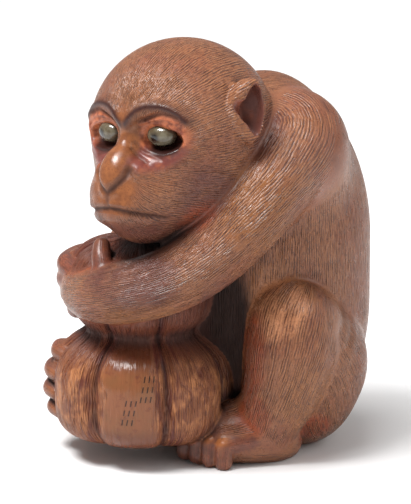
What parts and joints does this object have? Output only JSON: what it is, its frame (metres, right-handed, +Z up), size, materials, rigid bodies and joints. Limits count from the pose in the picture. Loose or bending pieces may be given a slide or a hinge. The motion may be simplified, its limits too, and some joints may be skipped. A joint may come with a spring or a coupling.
{
  "type": "okimono",
  "caption": "Carved wooden ornament of a seated monkey hugging a ribbed double gourd, with two domed inlaid eyes, resting on its flat underside.",
  "frame": {"origin": "middle of the underside, below the middle of the bounding box", "axes": "+Z up, the figure faces -Y, its left side is +X"},
  "size_m": [0.0444, 0.0528, 0.0648],
  "materials": {
    "carved_wood": "satin, stained reddish brown and worn lighter on the high spots",
    "eye_horn": "polished translucent horn, greenish grey"
  },
  "bodies": {
    "root": {"monkey_and_gourd_carving": "carved_wood", "left_eye": "eye_horn", "right_eye": "eye_horn"}
  },
  "joints": []
}
